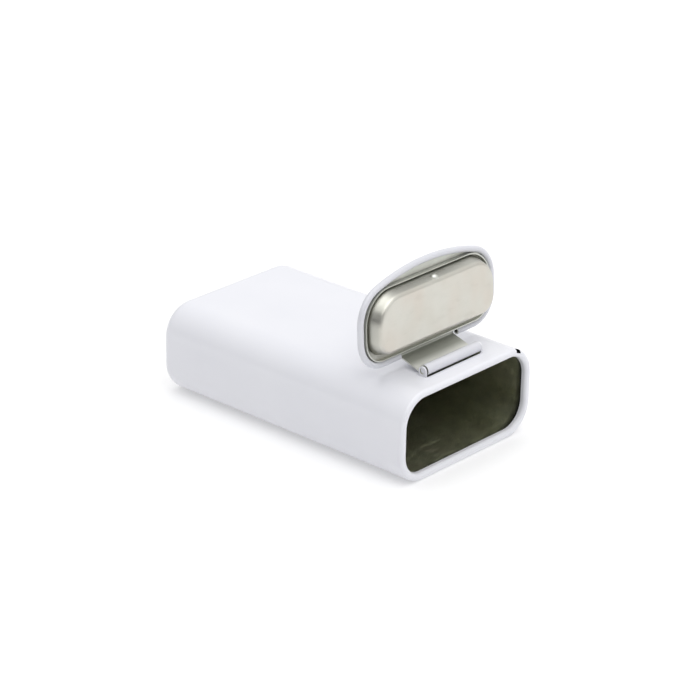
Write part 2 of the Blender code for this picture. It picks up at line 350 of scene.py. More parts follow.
@dataclass(frozen=True)
class BareTinplate:
    """Bare tinplate: warm grey, satin, with rolling lines, soft stains and scuffs.

    The lines run along one axis of the sheet, as the rolls left them.
    """

    name: str = "bare_tinplate_look"
    colour: Colour = (0.645, 0.635, 0.580, 1.0)
    stain: Colour = (0.590, 0.575, 0.510, 1.0)
    blush: Colour = (0.645, 0.595, 0.530, 1.0)
    metal: float = 1.0
    roughness: float = 0.30
    lines: Grain = Grain(0.22 * MM, 3.0, (1.0, 0.03, 1.0))
    cloud: Mottle = Mottle(Grain(4.5 * MM), 0.38, 0.72, 0.0, 0.8)
    pink: Mottle = Mottle(Grain(6.5 * MM, 1.0, (1.0, 1.3, 0.8)), 0.45, 0.75, 0.0, 0.7)
    spangle: Mottle = Mottle(Grain(1.6 * MM, 1.0), 0.3, 0.7, -0.015, 0.05)
    scuffs: Mottle = Mottle(Grain(1.1 * MM, 4.0, (1.0, 0.3, 1.0)), 0.55, 0.75, 0.0, 0.16)
    line_low: float = 0.40
    line_high: float = 0.75
    line_share: float = 0.14
    line_depth: float = 0.004 * MM
    line_bend: float = 0.35
    cloud_share: float = 0.55
    cloud_depth: float = 0.05 * MM
    cloud_bend: float = 0.25

    def paint_shade(self, graph: MaterialGraph, colour: Socket) -> Socket:
        """Return the sheet's colour with its painted shade; plain sheet gets none and is left as it
        is.
        """
        return colour

    def material(self) -> Material:
        """Make the tinplate as a node material.

        Returns:
            The material.
        """
        graph = MaterialGraph(self.name)
        lines = graph.noise(self.lines)
        cloud = graph.mottle(self.cloud)
        ground = graph.blend(graph.mottle(self.pink), self.colour, self.blush)
        stained = graph.blend(graph.times(cloud, self.cloud_share), ground, self.stain)
        streaks = graph.ranged(lines, self.line_low, self.line_high, 0.0, self.line_share)
        lined = graph.blend(streaks, stained, self.stain)
        spangled = graph.plus(self.roughness, graph.mottle(self.spangle))
        dents = graph.relief(cloud, self.cloud_depth, self.cloud_bend)
        graph.set_shader(
            Base_Color=self.paint_shade(graph, lined),
            Metallic=self.metal,
            Roughness=graph.plus(spangled, graph.mottle(self.scuffs)),
            Normal=graph.relief(lines, self.line_depth, self.line_bend, dents),
        )
        return graph.material


@dataclass(frozen=True, kw_only=True)
class InnerTinplate(BareTinplate):
    """The tube's bare inside: olive and dull, with painted shade that darkens it with depth and a
    painted shadow on the sheet just behind the mouth's roll.

    The hollow of the roll shows only through the notch at the end of the lap seam.
    """

    name: str = "tin_inside_look"
    colour: Colour = (0.66, 0.68, 0.51, 1.0)
    stain: Colour = (0.46, 0.47, 0.33, 1.0)
    blush: Colour = (0.68, 0.64, 0.50, 1.0)
    roughness: float = 0.45
    mouth: float
    # Painted shadow: the sheet is blackened just behind the mouth's roll; painted shade darkens it
    # with depth
    hollow: float = 3.2 * MM
    fade: float = 1.2 * MM
    depth_shade_start: float = 10 * MM
    depth_shade_reach: float = 30 * MM
    depth_shade_share: float = 0.7
    painted_shadow_colour: Colour = (0.030, 0.030, 0.034, 1.0)

    def paint_shade(self, graph: MaterialGraph, colour: Socket) -> Socket:
        """Paint shade on the colour that darkens with depth, and a painted shadow behind the
        mouth's roll.

        Args:
            graph: The material's node tree.
            colour: The sheet's colour.

        Returns:
            The colour with its painted shade and painted shadow.
        """
        # Painted shade that deepens inside the tube, and a painted shadow behind the roll
        deep = graph.along(-Axis.X.unit(), self.depth_shade_start - self.mouth)
        depth_shade_mask = graph.ranged(deep, 0.0, self.depth_shade_reach, 0.0, self.depth_shade_share)
        near = graph.along(Axis.X.unit(), self.mouth - self.hollow)
        roll_shadow_mask = graph.ranged(near, 0.0, self.fade)
        return graph.blend(roll_shadow_mask, graph.blend(depth_shade_mask, colour, self.painted_shadow_colour), self.painted_shadow_colour)


@dataclass(frozen=True, kw_only=True)
class DrawnTinplate(BareTinplate):
    """The drawn plug's sheet: bright on the face, with painted shade on the wall and darker painted
    shade at the root.

    The painted shade on the wall and at the root is laid by the distance behind the plug's face,
    and the shade at the root thins out towards the hinge.

    Attributes:
        away: The direction from the plug's face to its root.
        down: The direction from the hinge to the plug's free side.
        face: The face's place along away.
        foot: The plug's hinge side, as a place along down.
        root: How far behind the face the root lies.
    """

    name: str = "drawn_tinplate_look"
    roughness: float = 0.37
    away: Vector
    down: Vector
    face: float
    foot: float
    root: float
    # Painted shade: the wall is darkened behind the face, and darker again at the root in patches
    bend: float = 0.7 * MM
    root_shade_reach: float = 0.7 * MM
    root_shade_curve: float = 1.6
    hinge_fade: float = 1.4 * MM
    wall_shade_share: float = 0.8
    patches: Mottle = Mottle(Grain(1.3 * MM), 0.3, 0.7, 0.75, 1.0)
    painted_shade_colour: Colour = (0.500, 0.500, 0.450, 1.0)
    root_shade_colour: Colour = (0.130, 0.130, 0.112, 1.0)

    def paint_shade(self, graph: MaterialGraph, colour: Socket) -> Socket:
        """Paint shade on the wall's colour, and darker painted shade towards the root.

        Args:
            graph: The material's node tree.
            colour: The sheet's colour.

        Returns:
            The colour with its painted shade.
        """
        # Painted shade on the wall, then darker painted shade at the root, thinning towards the
        # hinge
        behind = graph.along(self.away, self.face)
        wall_shade_mask = graph.ranged(behind, 0.0, self.bend, 0.0, self.wall_shade_share)
        painted_shading = graph.blend(wall_shade_mask, colour, self.painted_shade_colour)
        rise = graph.ranged(behind, self.root - self.root_shade_reach, self.root)
        curved = graph.combine("POWER", rise, self.root_shade_curve)
        root_shade_mask = graph.times(curved, graph.mottle(self.patches))
        kept = graph.ranged(graph.along(self.down, self.foot), 0.0, self.hinge_fade)
        return graph.blend(graph.times(root_shade_mask, kept), painted_shading, self.root_shade_colour)


@dataclass(frozen=True, kw_only=True)
class StrapTinplate(BareTinplate):
    """The hinge strap's sheet: painted brighter than the lid's bare inside for the sky it reflects,
    with painted shade where it leaves the lid.
    """

    name: str = "hinge_strap_look"
    # Painted light: brighter than the lid's bare inside and part diffuse, for the sky the strap
    # reflects
    colour: Colour = (0.780, 0.790, 0.745, 1.0)
    stain: Colour = (0.700, 0.710, 0.660, 1.0)
    blush: Colour = (0.780, 0.770, 0.735, 1.0)
    roughness: float = 0.38
    metal: float = 0.6
    lid_end: float
    # Painted shade: the strap is darkened near the lid and fades out towards the pin
    lid_shade_reach: float = 0.8 * MM
    lid_shade_end: float = 2.0 * MM
    painted_shade_colour: Colour = (0.460, 0.470, 0.420, 1.0)

    def paint_shade(self, graph: MaterialGraph, colour: Socket) -> Socket:
        """Paint shade on the colour towards the lid.

        Args:
            graph: The material's node tree.
            colour: The sheet's colour.

        Returns:
            The colour with its painted shade.
        """
        # Painted shade near the lid, fading out towards the pin
        length = graph.along(Axis.X.unit(), self.lid_end)
        painted_shading = graph.ranged(length, self.lid_shade_reach, self.lid_shade_end, 1.0, 0.0)
        return graph.blend(painted_shading, colour, self.painted_shade_colour)


@dataclass(frozen=True)
class DrawnWire:
    """Drawn steel wire, dark grey, with fine lines along it."""

    colour: Colour = (0.27, 0.27, 0.27, 1.0)
    bright: Colour = (0.46, 0.45, 0.43, 1.0)
    patches: Mottle = Mottle(Grain(0.8 * MM), 0.4, 0.7)
    lines: Grain = Grain(0.08 * MM, 2.0, (1.0, 0.04, 1.0))
    line_low: float = 0.3
    line_high: float = 0.7
    smoothest: float = 0.28
    roughest: float = 0.5
    line_depth: float = 0.004 * MM
    line_bend: float = 0.4

    def material(self) -> Material:
        """Make the wire as a node material.

        Returns:
            The material.
        """
        graph = MaterialGraph("drawn_wire_look")
        lines = graph.noise(self.lines)
        graph.set_shader(
            Base_Color=graph.blend(graph.mottle(self.patches), self.colour, self.bright),
            Metallic=1.0,
            Roughness=graph.ranged(
                lines, self.line_low, self.line_high, self.smoothest, self.roughest
            ),
            Normal=graph.relief(lines, self.line_depth, self.line_bend),
        )
        return graph.material


@dataclass(frozen=True)
class PaleFloor:
    """The plain, nearly white sheet that the tin lies on."""

    colour: Colour = (0.68, 0.68, 0.685, 1.0)
    roughness: float = 0.9
    specular: float = 0.1
    glow_colour: Colour = (1.0, 1.0, 1.0, 1.0)
    glow: float = 0.30

    def material(self) -> Material:
        """Make the floor as a node material.

        Returns:
            The material.
        """
        graph = MaterialGraph("pale_floor_look")
        graph.set_shader(
            Base_Color=self.colour,
            Roughness=self.roughness,
            Specular_IOR_Level=self.specular,
            Emission_Color=self.glow_colour,
            Emission_Strength=self.glow,
        )
        return graph.material


class Bench:
    """Edit-mode work on one piece at a time, by the operators that a modeller uses."""

    @staticmethod
    def clear() -> None:
        """Leave edit mode and deselect everything."""
        if bpy.context.object is not None and bpy.context.object.mode != "OBJECT":
            Bench.leave()
        bpy.ops.object.select_all(action="DESELECT")

    @staticmethod
    def leave() -> None:
        """Leave edit mode."""
        bpy.ops.object.mode_set(mode="OBJECT")

    @staticmethod
    def take(piece: Piece) -> None:
        """Make a piece the only selected and active one.

        Args:
            piece: The piece.
        """
        Bench.clear()
        piece.select_set(True)
        bpy.context.view_layer.objects.active = piece

    @staticmethod
    def edit(piece: Piece) -> None:
        """Open a piece in edit mode."""
        Bench.take(piece)
        bpy.ops.object.mode_set(mode="EDIT")

    @staticmethod
    def settle(name: str | None = None) -> Piece:
        """Put the active piece's place, turn and size into its mesh.

        Args:
            name: The piece's name, if it gets one now.

        Returns:
            The piece.
        """
        piece = bpy.context.object
        if name is not None:
            piece.name = name
        bpy.ops.object.transform_apply(location=True, rotation=True, scale=True)
        return piece

    @staticmethod
    def block(name: str, low: Vector, high: Vector) -> Piece:
        """Add a box between two corners, its object at the origin.

        Args:
            name: The piece's name.
            low: The lowest corner.
            high: The highest corner.

        Returns:
            The box, selected and active.
        """
        Bench.clear()
        bpy.ops.mesh.primitive_cube_add(size=1, location=(low + high) / 2, scale=high - low)
        return Bench.settle(name)

    @staticmethod
    def rod(name: str, radius: float, low: Vector, high: Vector, sides: int) -> Piece:
        """Add a cylinder along Y, its object at the origin.

        Args:
            name: The piece's name.
            radius: Its radius.
            low: The centre of its lower end.
            high: The centre of its higher end.
            sides: Its facets.

        Returns:
            The cylinder, selected and active.
        """
        Bench.clear()
        bpy.ops.mesh.primitive_cylinder_add(
            vertices=sides,
            radius=radius,
            depth=(high - low).length,
            location=(low + high) / 2,
            rotation=(QUARTER, 0.0, 0.0),
        )
        return Bench.settle(name)

    @staticmethod
    def pick(piece: Piece, grip: Grip, test: EdgeTest | FaceTest) -> None:
        """Pick the edges or faces that pass a test, in edit mode.

        Args:
            piece: The piece.
            grip: Whether edges or faces are picked.
            test: The test.
        """
        bpy.ops.mesh.select_mode(type=grip.name)
        bpy.ops.mesh.select_all(action="DESELECT")
        mesh = bmesh.from_edit_mesh(piece.data)
        picked = [one for one in getattr(mesh, grip.value) if test(one)]
        for one in picked:
            one.select_set(True)
        bmesh.update_edit_mesh(piece.data)

    @staticmethod
    def extrude(x: float = 0.0, y: float = 0.0, z: float = 0.0) -> None:
        """Extrude what is picked by a distance along each axis."""
        bpy.ops.mesh.extrude_region_move(TRANSFORM_OT_translate={"value": (x, y, z)})

    @staticmethod
    def round_off(piece: Piece, test: EdgeTest, reach: float, steps: int) -> None:
        """Round the edges that pass a test, in edit mode, by a reach and a number of facets."""
        Bench.pick(piece, Grip.EDGE, test)
        bpy.ops.mesh.bevel(offset=reach, segments=steps, affect="EDGES", clamp_overlap=False)

    @staticmethod
    def face_out() -> None:
        """Pick all of a closed shape and turn its faces outwards."""
        bpy.ops.mesh.select_all(action="SELECT")
        bpy.ops.mesh.normals_make_consistent(inside=False)

    @staticmethod
    def face_along(
        piece: Piece, rank: Callable[[bmesh.types.BMFace], float], way: int
    ) -> None:
        """Make an open sheet, in edit mode, look the right way along X, and leave it all picked.

        Args:
            piece: The sheet.
            rank: Gives each face a number; the face with the greatest one is judged.
            way: 1 if that face is to look along X, -1 if it is to look against it.
        """
        Bench.face_out()
        mesh = bmesh.from_edit_mesh(piece.data)
        if max(mesh.faces, key=rank).normal.x * way < 0:
            bpy.ops.mesh.flip_normals()

    @staticmethod
    def modify(piece: Piece, kind: str, **settings: Any) -> None:
        """Add a modifier to a piece and apply it.

        Args:
            piece: The piece.
            kind: The modifier's type name.
            **settings: Properties of the modifier.
        """
        Bench.take(piece)
        modifier = piece.modifiers.new(kind.lower(), kind)
        for key, value in settings.items():
            setattr(modifier, key, value)
        bpy.ops.object.modifier_apply(modifier=modifier.name)

    @staticmethod
    def thicken(
        piece: Piece, sheet: float, inner: Side = Side.ENAMEL, rim: Side = Side.ENAMEL
    ) -> None:
        """Give an open shape the thickness of its sheet, inwards.

        Args:
            piece: The piece.
            sheet: The sheet's thickness.
            inner: The coat of the inner faces, counted from the outer faces' own.
            rim: The coat of the sheet's open edges, counted in the same way.
        """
        Bench.modify(
            piece,
            "SOLIDIFY",
            thickness=sheet,
            offset=-1.0,
            use_even_offset=True,
            use_quality_normals=True,
            material_offset=inner.value,
            material_offset_rim=rim.value,
        )

    @staticmethod
    def combine(piece: Piece, tool: Piece, meet: Meet, side: Side | None = None) -> None:
        """Join a tool to a piece or cut it out, and throw the tool away.

        Args:
            piece: The piece.
            tool: The tool.
            meet: How the tool meets the piece.
            side: Which of the piece's coats the tool brings, if it isn't painted yet.
        """
        Bench.clear()
        if side is not None:
            Bench.paint(tool, list(piece.data.materials), side)
        Bench.modify(piece, "BOOLEAN", operation=meet.value, object=tool, solver="EXACT")
        bpy.data.objects.remove(tool, do_unlink=True)

    @staticmethod
    def paint(piece: Piece, coats: Iterable[Material], side: Side | None = None) -> None:
        """Give a piece its materials, and one side to all its faces if it is named.

        Args:
            piece: The piece.
            coats: Its materials, in the order of Side where they are the sheet's coats.
            side: The material that every face takes, or none to leave them.
        """
        piece.data.materials.clear()
        for coat in coats:
            piece.data.materials.append(coat)
        if side is not None:
            for one in piece.data.polygons:
                one.material_index = side.value

    @staticmethod
    def finish(piece: Piece) -> None:
        """Shade a piece smooth but for its creases, with flats that stay flat.

        Args:
            piece: The piece.
        """
        Bench.edit(piece)
        bpy.ops.mesh.select_all(action="SELECT")
        bpy.ops.mesh.remove_doubles(threshold=SEAL)
        bpy.ops.mesh.dissolve_degenerate(threshold=SEAL)
        Bench.leave()
        bpy.ops.object.shade_smooth_by_angle(angle=FACET_ANGLE)
        Bench.modify(piece, "WEIGHTED_NORMAL", mode="FACE_AREA", weight=100, keep_sharp=True)


class Pen:
    """Draws an outline of straight runs and arcs in one plane, by extrude and spin."""

    def __init__(self, name: str, plane: Axis, height: float, first: float, second: float) -> None:
        """Set the pen down.

        Args:
            name: The name of the piece that the outline starts.
            plane: The axis square to the plane that it is drawn in.
            height: The plane's place along that axis.
            first: Start along the plane's first axis.
            second: Start along the plane's second axis.
        """
        Bench.clear()
        bpy.ops.mesh.primitive_plane_add(size=MM)
        self.piece = bpy.context.object
        self.piece.name = name
        self.plane = plane
        self.height = height
        self.at = (first, second)
        bpy.ops.object.mode_set(mode="EDIT")
        bpy.ops.mesh.select_mode(type="VERT")
        bpy.ops.mesh.select_all(action="SELECT")
        bpy.ops.mesh.merge(type="CENTER")
        bpy.ops.transform.translate(value=plane.place(first, second, height))

    @classmethod
    def rounded_box(
        cls,
        name: str,
        plane: Axis,
        height: float,
        low: Vector,
        high: Vector,
        corners: tuple[float, float],
        steps: int,
    ) -> "Pen":
        """Draw a rectangle with round corners.

        Args:
            name: The name of the piece.
            plane: The axis square to the plane that it is drawn in.
            height: The plane's place along that axis.
            low: The lowest corner, in the plane's axes.
            high: The highest corner, in the plane's axes.
            corners: The radius of the low side's corners, and that of the high side's.
            steps: Facets of each corner.

        Returns:
            The pen, with the outline drawn but not closed.
        """
        below, above = corners
        pen = cls(name, plane, height, high.x, low.y + below)
        pen.run_to(high.x, high.y - above)
        pen.turn(high.x - above, high.y - above, QUARTER, steps)
        pen.run_to(low.x + above, high.y)
        pen.turn(low.x + above, high.y - above, QUARTER, steps)
        pen.run_to(low.x, low.y + below)
        pen.turn(low.x + below, low.y + below, QUARTER, steps)
        pen.run_to(high.x - below, low.y)
        pen.turn(high.x - below, low.y + below, QUARTER, steps)
        return pen

    def run_to(self, first: float, second: float) -> None:
        """Draw a straight run.

        Args:
            first: Its end along the plane's first axis.
            second: Its end along the plane's second axis.
        """
        shift = self.plane.place(first - self.at[0], second - self.at[1], 0.0)
        Bench.extrude(*shift)
        self.at = (first, second)

    def turn(self, first: float, second: float, angle: float, steps: int) -> None:
        """Draw an arc.

        Args:
            first: Its centre along the plane's first axis.
            second: Its centre along the plane's second axis.
            angle: Its angle, anticlockwise if positive.
            steps: Its facets.
        """
        centre = self.plane.place(first, second, self.height)
        bpy.ops.mesh.spin(steps=steps, angle=-angle, center=centre, axis=self.plane.unit())
        away = Vector((self.at[0] - first, self.at[1] - second))
        away.rotate(Matrix.Rotation(angle, 2))
        self.at = (first + away.x, second + away.y)

    def close(self, fill: bool = True) -> Piece:
        """Merge the outline's ends and doubled points.

        Args:
            fill: Whether the outline gets a face.

        Returns:
            The piece, in edit mode and picked all over.
        """
        bpy.ops.mesh.select_all(action="SELECT")
        bpy.ops.mesh.remove_doubles(threshold=JOIN)
        if fill:
            bpy.ops.mesh.edge_face_add()
        return self.piece


def ends_at(edge: bmesh.types.BMEdge, axis: Axis, place: float) -> list[bool]:
    """Return, for each end of an edge, whether it lies at a place along an axis."""
    return [abs(vert.co[axis.value] - place) < NEAR for vert in edge.verts]


def is_fold(edge: bmesh.types.BMEdge, axis: Axis) -> bool:
    """Return whether an edge parts a face square to an axis from one that isn't."""
    facing = [abs(face.normal[axis.value]) > SQUARE for face in edge.link_faces]
    return len(facing) == 2 and facing[0] != facing[1]


def rim_test(x: float) -> EdgeTest:
    """Return a test for the folds that lie at x, between a face square to X and one beside it."""
    return lambda edge: all(ends_at(edge, Axis.X, x)) and is_fold(edge, Axis.X)


@dataclass
class Hinge:
    """Where the lid turns, and how far open it stands."""

    mouth_x: float
    top_z: float
    setback: float = 4.2 * MM
    rise: float = 0.95 * MM
    open_angle: float = math.radians(183.5)

    @property
    def axis_x(self) -> float:
        """Return the axis's place along the tin."""
        return self.mouth_x - self.setback

    @property
    def axis_z(self) -> float:
        """Return the axis's height."""
        return self.top_z + self.rise

    @property
    def opened(self) -> Matrix:
        """Return the move from the shut lid's frame, about the axis, to its open place."""
        turned = Matrix.Rotation(-self.open_angle, 4, "Y")
        return Matrix.Translation((self.axis_x, 0.0, self.axis_z)) @ turned

    def swing_open(self, piece: Piece) -> None:
        """Carry a piece from the shut lid's frame to its open place.

        Args:
            piece: The piece.
        """
        Bench.take(piece)
        piece.matrix_world = self.opened
        Bench.settle()


@dataclass
class TinBody:
    """The enamelled tube with its rolled mouth, turned-in end, slot, ears, base and pin."""

    hinge: Hinge
    enamel: Material
    bare: Material
    plate: Material
    wire: Material
    length: float = 56.6 * MM
    width: float = 34.0 * MM
    height: float = 16.5 * MM
    corner: float = 5.8 * MM
    sheet: float = 0.25 * MM
    mouth_curl: float = 0.7 * MM
    curl_tuck: float = 0.4 * MM
    curl_flat: float = 0.03 * MM
    end_round: float = 2.0 * MM
    end_lip: float = 0.7 * MM
    base_fit: float = 0.1 * MM
    base_skirt: float = 1.6 * MM
    seam_angle: float = math.radians(68)
    seam_width: float = 1.2 * MM
    seam_length: float = 0.7 * MM
    seam_depth: float = 0.6 * MM
    seam_step: float = 0.07 * MM
    seam_line: float = 0.16 * MM
    ear_head: float = 0.8 * MM
    ear_sheet: float = 0.3 * MM
    ear_inner: float = 7.1 * MM
    ear_bore: float = 0.53 * MM
    ear_edge: float = 0.05 * MM
    ear_step: float = 0.01 * MM
    slot_half: float = 0.85 * MM
    slot_corner: float = 0.4 * MM
    pin_radius: float = 0.5 * MM
    pin_end: float = 7.3 * MM
    pin_edge: float = 0.08 * MM
    overrun: float = 1.0 * MM
    corner_steps: int = 18
    roll_steps: int = 10
    slot_steps: int = 6
    ear_steps: int = 20
    ear_edge_steps: int = 2
    bore_steps: int = 32
    pin_steps: int = 40
    pin_edge_steps: int = 3

    def build(self) -> list[Piece]:
        """Build the body's pieces and tie each to the frame.

        Returns:
            The pieces.
        """
        shell = self.shell()
        base = self.base()
        pin = self.pin()
        for piece, node, slot in (
            (shell, "body_shell", "white_enamel"),
            (base, "base_plate", "bare_tinplate"),
            (pin, "hinge_pin", "pin_steel"),
        ):
            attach(piece, "tin_body")
            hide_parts(node)
        return [shell, base, pin]

    def section(self, name: str, start: float, end: float, inset: float) -> Piece:
        """Build a closed prism of the body's section.

        Args:
            name: The name of the piece.
            start: Where it starts along X.
            end: Where it ends along X.
            inset: How far its sides lie inside the body's.

        Returns:
            The prism, in edit mode.
        """
        low = Vector((inset - self.width / 2, inset))
        high = Vector((self.width / 2 - inset, self.height - inset))
        corners = (self.corner - inset, self.corner - inset)
        prism = Pen.rounded_box(name, Axis.X, start, low, high, corners, self.corner_steps).close()
        Bench.extrude(x=end - start)
        Bench.face_out()
        return prism

    def shell(self) -> Piece:
        """Build the tube: section, turned-in end, rolled mouth, wall, then its cuts.

        Returns:
            The tube.
        """
        near, far = self.length / 2, -self.length / 2
        shell = self.section("tin_shell", far, near, 0.0)
        Bench.round_off(shell, rim_test(far), self.end_round, self.roll_steps)
        end_verts = 4 * self.corner_steps
        Bench.pick(shell, Grip.FACE, lambda face: face.normal.x < 0 and len(face.verts) > end_verts)
        bpy.ops.mesh.inset(thickness=self.end_lip, use_even_offset=True)
        bpy.ops.mesh.delete(type="FACE")
        Bench.pick(shell, Grip.FACE, lambda face: face.normal.x > SQUARE)
        bpy.ops.mesh.inset(thickness=2 * self.mouth_curl, use_even_offset=True)
        Bench.extrude(x=-(self.mouth_curl + self.curl_tuck))
        bpy.ops.mesh.delete(type="FACE")
        Bench.round_off(shell, rim_test(near), self.mouth_curl - self.curl_flat, self.roll_steps)
        Bench.leave()
        Bench.paint(shell, (self.enamel, self.bare), Side.ENAMEL)
        Bench.thicken(shell, self.sheet, inner=Side.BARE, rim=Side.BARE)
        self.cut_seam(shell)
        self.cut_slot(shell)
        self.raise_ears(shell)
        Bench.finish(shell)
        return shell

    def cut_seam(self, shell: Piece) -> None:
        """Cut the notch in the rolled rim where the seam ends, and the step along the seam.

        Args:
            shell: The tube.
        """
        centre = Vector((0.0, self.width / 2 - self.corner, self.height - self.corner))
        reach = self.corner
        curl_start = self.length / 2 - self.mouth_curl
        notch = Bench.block(
            "seam_notch",
            Vector((curl_start, -self.seam_width / 2, reach - self.seam_depth)),
            Vector((curl_start + self.seam_length, self.seam_width / 2, reach + self.overrun)),
        )
        line_start = -self.length / 2 + self.end_round
        line = Bench.block(
            "seam_line",
            Vector((line_start, -self.seam_line / 2, reach - self.seam_step)),
            Vector((curl_start - self.seam_line, self.seam_line / 2, reach + self.overrun)),
        )
        for tool, side in ((notch, Side.BARE), (line, Side.ENAMEL)):
            Bench.take(tool)
            tool.rotation_euler.x = self.seam_angle - QUARTER
            tool.location = centre
            Bench.settle()
            Bench.combine(shell, tool, Meet.CUT, side)

    def cut_slot(self, shell: Piece) -> None:
        """Cut the slot under the hinge, with round corners and bare edges.

        Args:
            shell: The tube.
        """
        low = Vector((self.hinge.axis_x - self.slot_half, -self.ear_inner))
        high = Vector((self.hinge.axis_x + self.slot_half, self.ear_inner))
        start = self.height - self.sheet - self.overrun
        corners = (self.slot_corner, self.slot_corner)
        pen = Pen.rounded_box("slot_cut", Axis.Z, start, low, high, corners, self.slot_steps)
        cut = pen.close()
        Bench.extrude(z=2 * self.overrun)
        Bench.face_out()
        Bench.combine(shell, cut, Meet.CUT, Side.BARE)

    def raise_ears(self, shell: Piece) -> None:
        """Stand the two ears at the slot's ends and bore them for the pin.

        Args:
            shell: The tube.
        """
        foot = self.height - self.sheet / 2
        axis_x, axis_z = self.hinge.axis_x, self.hinge.axis_z
        for outward in (-1, 1):
            start = outward * (self.ear_inner + self.ear_step)
            pen = Pen("ear", Axis.Y, start, foot, axis_x - self.ear_head)
            pen.run_to(axis_z, axis_x - self.ear_head)
            pen.turn(axis_z, axis_x, math.pi, self.ear_steps)
            pen.run_to(foot, axis_x + self.ear_head)
            ear = pen.close()
            Bench.extrude(y=outward * self.ear_sheet)
            Bench.face_out()
            Bench.round_off(ear, self.ear_test(foot), self.ear_edge, self.ear_edge_steps)
            Bench.face_out()
            Bench.combine(shell, ear, Meet.JOIN, Side.ENAMEL)
            low = Vector((axis_x, start - self.overrun, axis_z))
            high = Vector((axis_x, start + self.overrun, axis_z))
            bore = Bench.rod("ear_bore", self.ear_bore, low, high, self.bore_steps)
            Bench.combine(shell, bore, Meet.CUT, Side.BARE)

    @staticmethod
    def ear_test(foot: float) -> EdgeTest:
        """Return a test for an ear's outline edges, but for those that end at its foot."""
        return lambda edge: is_fold(edge, Axis.Y) and not any(ends_at(edge, Axis.Z, foot))

    def base(self) -> Piece:
        """Build the drawn plate that closes the far end from inside.

        Returns:
            The plate.
        """
        fit = self.sheet + self.base_fit
        start = -self.length / 2 + fit
        end = -self.length / 2 + self.end_round + self.base_skirt
        base = self.section("base_cup", start, end, fit)
        Bench.round_off(base, rim_test(start), self.end_round - fit, self.roll_steps)
        Bench.pick(base, Grip.FACE, lambda face: face.normal.x > SQUARE)
        bpy.ops.mesh.delete(type="FACE")
        Bench.leave()
        Bench.paint(base, (self.plate, self.bare))
        Bench.thicken(base, self.sheet, inner=Side.BARE)
        Bench.finish(base)
        return base

    def pin(self) -> Piece:
        """Build the hinge wire, its ends rounded and painted over with the ears.

        Returns:
            The wire.
        """
        low = Vector((self.hinge.axis_x, -self.pin_end, self.hinge.axis_z))
        high = Vector((self.hinge.axis_x, self.pin_end, self.hinge.axis_z))
        pin = Bench.rod("hinge_wire", self.pin_radius, low, high, self.pin_steps)
        Bench.edit(pin)
        Bench.round_off(
            pin,
            lambda edge: all(ends_at(edge, Axis.Y, edge.verts[0].co.y)),
            self.pin_edge,
            self.pin_edge_steps,
        )
        Bench.leave()
        Bench.paint(pin, (self.wire, self.enamel))
        for face in pin.data.polygons:
            face.material_index = int(abs(face.center.y) > self.pin_end - self.pin_edge)
        Bench.finish(pin)
        return pin


@dataclass(frozen=True)
class Plan:
    """A rectangle with round corners in the shut lid, centred across.

    Attributes:
        half: Half its width.
        top: Its hinge side, down from the lid's hinge edge.
        bottom: Its free side, down from the same edge.
        free_corner: Radius of the corners at its free side.
        hinge_corner: Radius of the corners at its hinge side.
    """

    half: float
    top: float
    bottom: float
    free_corner: float
    hinge_corner: float


